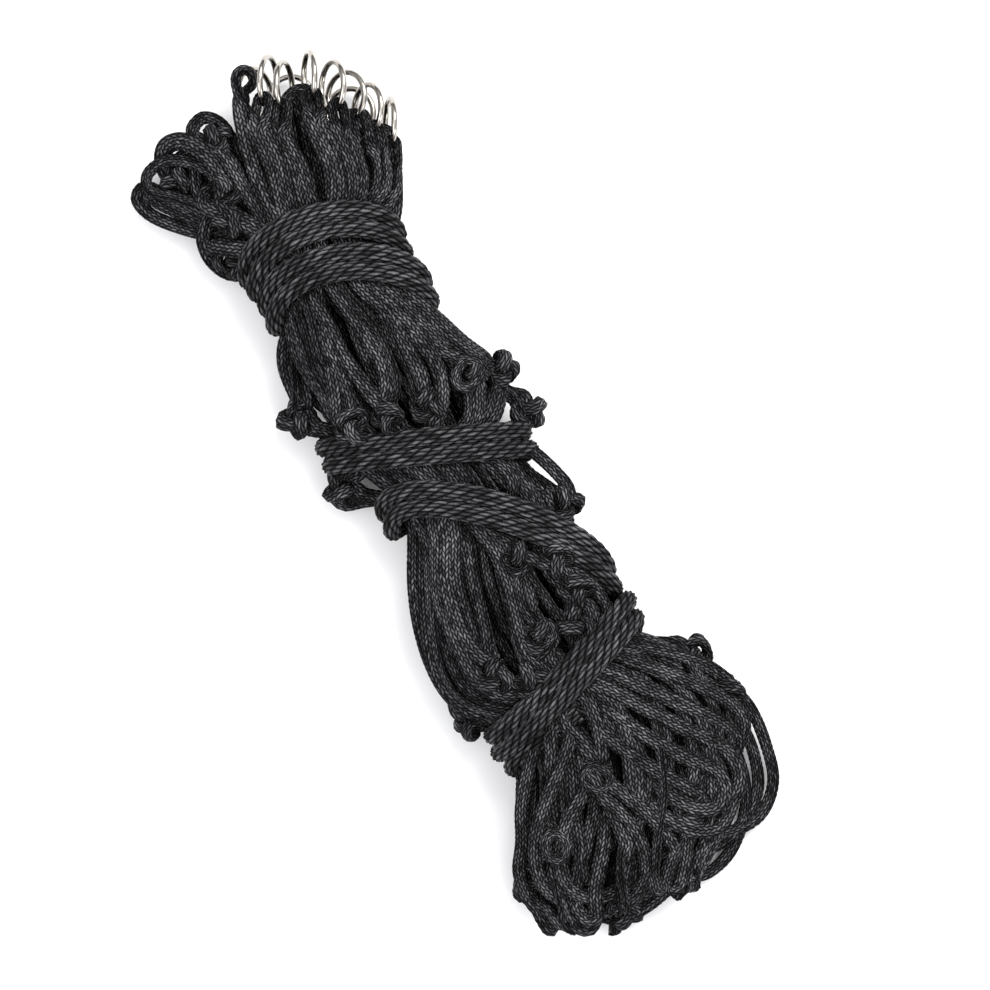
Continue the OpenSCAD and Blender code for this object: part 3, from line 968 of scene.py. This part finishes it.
looseCords = {
    "tail_side_loop": [
        (0.85, 0.2, [(52, -104, 28), (66, -116, 26), (80, -128, 21), (86, -140, 16), (87, -158, 9), (84, -176, 6),
            (73, -188, 5), (58, -190, 8), (40, -186, 12)]),
        (0.85, 0.6, [(50, -108, 24), (64, -121, 22), (75, -133, 18), (80, -147, 13), (80, -163, 8), (76, -177, 6),
            (66, -187, 6), (52, -193, 9), (36, -192, 12)]),
    ],
    "tail_corner_loop": [
        (0.85, 0.4, [(56, -132, 24), (69, -146, 18), (73, -162, 13), (68, -182, 7), (55, -198, 4), (40, -204, 4),
            (28, -199, 8), (18, -192, 12)]),
    ],
    "tail_fan": [
        (1.1, 0.0, [(18, -96, 34), (30, -108, 45), (44, -124, 47), (56, -138, 43), (66, -149, 36), (70, -157, 26),
            (62, -166, 16)]),
        (1.1, 0.1, [(22, -92, 34), (36, -104, 44), (50, -118, 45), (62, -131, 41), (72, -142, 33), (75, -152, 22),
            (66, -162, 14)]),
        (1.05, -0.1, [(20, -106, 34), (27, -117, 46), (36, -131, 49), (48, -146, 46), (58, -158, 39), (62, -167, 29),
            (54, -176, 18)]),
        (1.05, 0.15, [(14, -114, 30), (20, -124, 46), (28, -138, 50), (40, -154, 47), (49, -166, 41), (52, -176, 30),
            (44, -184, 18)]),
        (1.0, 0.0, [(30, -88, 30), (44, -100, 40), (58, -112, 41), (70, -124, 36), (79, -136, 27), (80, -148, 18),
            (70, -156, 12)]),
        (1.0, 0.5, [(38, -86, 28), (52, -97, 36), (66, -107, 34), (76, -117, 28), (82, -130, 20), (76, -142, 14),
            (66, -148, 12)]),
        (1.1, 0.1, [(30, -150, 44), (38, -162, 46), (46, -171, 45), (55, -174, 40), (60, -168, 36), (62, -158, 36),
            (56, -150, 38)]),
        (1.1, -0.1, [(24, -156, 43), (32, -170, 45), (42, -180, 42), (53, -183, 36), (62, -176, 30), (66, -164, 28),
            (62, -152, 32)]),
    ],
    "tail_sweep": [
        (1.0, 0.1, [(10, -114, 36), (3.4, -124.5, 47), (-14.4, -143.4, 46), (-26, -159.5, 42), (-30, -176.1, 36),
            (-23.9, -190.2, 29), (-11.1, -200.5, 22), (5.7, -200.6, 20), (21.6, -196.5, 20), (35.2, -189.6, 20),
            (44, -182, 18)]),
        (1.05, -0.1, [(8, -128, 40), (3.9, -142.9, 50), (-11, -157.7, 48), (-19, -171.4, 44), (-19, -184.4, 37),
            (-9.5, -193.3, 31), (5, -192.6, 31), (17.5, -187.1, 34), (30.1, -181.7, 33), (36, -176, 26)]),
        (1.0, 0.2, [(4, -140, 40), (8.9, -150, 50), (14.8, -161.4, 49), (17.5, -174.2, 45), (16, -187.8, 38),
            (8.2, -197.7, 28), (-3.5, -200.9, 22), (-18.2, -198.9, 18), (-29, -193.4, 14), (-34, -186, 12)]),
        (0.95, 0.3, [(-8, -118, 34), (-14.9, -125, 40), (-25.4, -141.6, 39), (-31.6, -157.3, 34), (-38, -170.3, 26),
            (-38, -183.3, 19), (-31.7, -193.6, 13), (-21.4, -200.3, 10), (-10, -203, 9)]),
        (1.05, 0.0, [(10, -138, 40), (15.2, -147.3, 50), (22.8, -160.7, 49), (29.6, -176.3, 43), (30.3, -190.9, 32),
            (22.5, -200.8, 22), (10, -206.2, 15), (-3.4, -207.4, 11), (-12, -203, 9)]),
        (0.95, 0.4, [(12, -200, 6), (0, -206, 5), (-14, -204, 5), (-26, -199, 6), (-34, -190, 8)]),
    ],
    "tail_fold": [
        (1.1, 0.0, [(50, -134, 40), (60, -144, 38.5), (68, -153, 35), (70.5, -163, 33.5), (66, -172, 31),
            (56, -178, 27), (46, -176, 22)]),
        (1.0, 0.1, [(44, -142, 44), (54, -151, 42), (61, -160, 39), (62, -169, 36), (55, -178, 32), (45, -182, 26),
            (38, -178, 20)]),
    ],
    "mouth_fill": [
        (1.05, 0.0, [(-12.5, 120, 26), (-9.5, 140, 34), (-6, 163, 35), (-3, 180, 34), (-2.4, 189, 30), (-4, 187, 24),
            (-6, 170, 22)]),
        (1.0, 0.1, [(-19, 121, 24), (-15.5, 143, 30), (-12.5, 165, 31), (-9.5, 183, 30), (-7.5, 190, 27), (-9, 186, 21),
            (-11, 168, 20)]),
        (1.0, -0.1, [(-8, 121, 24), (-4, 142, 29), (0, 163, 30), (3, 179, 29), (4, 186, 26), (1.5, 182, 20),
            (-1, 165, 19)]),
        (1.0, 0.2, [(12, 117, 18), (20, 128, 22), (25.5, 142, 23), (29.5, 155, 21), (28.5, 163, 16), (24, 157, 12),
            (18, 140, 10)]),
        (0.9, 0.3, [(4, 119, 20), (10, 136, 24), (16.5, 153, 26), (21.5, 167, 25), (21.5, 173, 20), (17, 166, 15),
            (10, 150, 13)]),
        (0.8, 0.2, [(-16, 178, 26), (-11.5, 187, 30), (-4, 192.5, 32), (3, 191.5, 31), (8, 184, 26)]),
    ],
    "waist_loop": [
        (0.9, 0.3, [(30, 14, 26), (37, 4, 30), (43, -8, 31), (46, -18, 29), (43, -25, 26), (36, -30, 24),
            (26, -34, 24)]),
        (0.9, 1.0, [(26, 6, 24), (33, -6, 25), (40, -17, 25), (43, -24, 24), (38, -34, 22), (30, -42, 22)]),
        (1.0, 0.5, [(-34, 26, 19), (-45, 26, 16), (-53, 20, 14), (-51, 13, 11), (-42, 11, 11), (-30, 8, 14)]),
    ],
}
# Small standing curls on top of the hank: middle, radius, and the turn at which each starts.
curls = [((23, 46, 47), 5.6, 0.4), ((11, -74, 48), 4.8, 1.0), ((10, -142, 53), 5.4, 3.6), ((-18, -164, 47.5), 5.2, 5.0)]


def looseRun(row, rng, scale=1.0):
    wide, spun, points = row
    points = metres(points)
    spin = spun + 0.35 * np.sin(np.linspace(0, 5, len(points)) + rng.uniform(0, 6))
    look = np.broadcast_to((0, 0, 1.0), points.shape)
    return cordRun(points, look, spin, netCord["spacing"], netCord["halfWidth"] * wide * scale,
        netCord["halfThick"] * scale, float(rng.uniform(0, 1)))


# A cord that comes up out of the bundle, curls once and a bit, and goes down again
def curlRun(middle, radius, start, rng):
    rows, middle, radius = [], metres(middle), radius / 1000
    angles = start + np.linspace(0, turn * 1.1, 15)
    tilt = rng.uniform(-0.4, 0.4, 2)
    for k, a in enumerate(angles):
        spot = np.array([math.cos(a), math.sin(a), 0.0]) * radius * (1 + 0.16 * math.sin(2 * a + start))
        spot[2] = spot[0] * tilt[0] + spot[1] * tilt[1] + 0.0034 * (k / 14 - 0.5)
        rows.append(middle + spot)
    for k, tail in ((0, -1), (-1, 1)):
        a = angles[k]
        away = np.array([-math.sin(a), math.cos(a), 0]) * tail
        far = [rows[k] + away * 0.004 + (0, 0, -0.005), rows[k] + away * 0.006 + (0, 0, -0.014)]
        rows = far[::-1] + rows if k == 0 else rows + far
    path = np.array(rows)
    face = np.broadcast_to((tilt[0] * -1, tilt[1] * -1, 1.0), path.shape)
    return cordRun(path, face, 0.25 * np.sin(np.linspace(0, 7, len(path))), netCord["spacing"], 0.0025, 0.0015,
        float(rng.uniform(0, 1)))


def makeFold(rng):
    runs = [looseRun(row, rng) for row in foldCords]
    placed(braidMesh("fold_cords", runs, netLook, cordFinish), "fold_bundle", "fold_loop_low", "fold_loop_high")
    knots = [knotRun(p, rng, 0.95) for p in metres(foldKnots)]
    placed(braidMesh("fold_knots", knots, knotLook, cordFinish))
    path = metres(curlCord)
    middle = np.array([-.0217, .2055, .037])
    face = path - middle
    face[:5], face[-4:] = (0, 0, 1), (0, 0, 1)
    inLoop = (np.arange(len(path)) > 4) & (np.arange(len(path)) < 12)
    run = cordRun(path, unit(face), np.zeros(len(path)), netCord["spacing"], np.where(inLoop, 0.0034, 0.0041),
        np.where(inLoop, 0.0023, 0.0018), 0.3)
    placed(braidMesh("head_curl", [run], netLook, cordFinish), "curl_loop")
    print("fold:", len(foldCords), "cords and the curl")


def makeLoose(rng):
    for name, rows in looseCords.items():
        piece = braidMesh(name + "_cord", [looseRun(row, rng, 0.9) for row in rows], netLook, cordFinish)
        placed(piece, *([name] if name in frame["nodes"] else []))
    placed(braidMesh("surface_curls", [curlRun(*row, rng) for row in curls], netLook, cordFinish))
    print("loose cords:", sum(len(rows) for rows in looseCords.values()), "and", len(curls), "small curls")


def finishRings():
    for name, node in frame["nodes"].items():
        if name.startswith("ring_") or name == "base_ring":
            for held in node.material_slots:
                held.material = steelFinish


rng = np.random.default_rng(seed)
makeBundle(rng)
makeKnots(rng)
makeFold(rng)
makeLoose(rng)
finishRings()
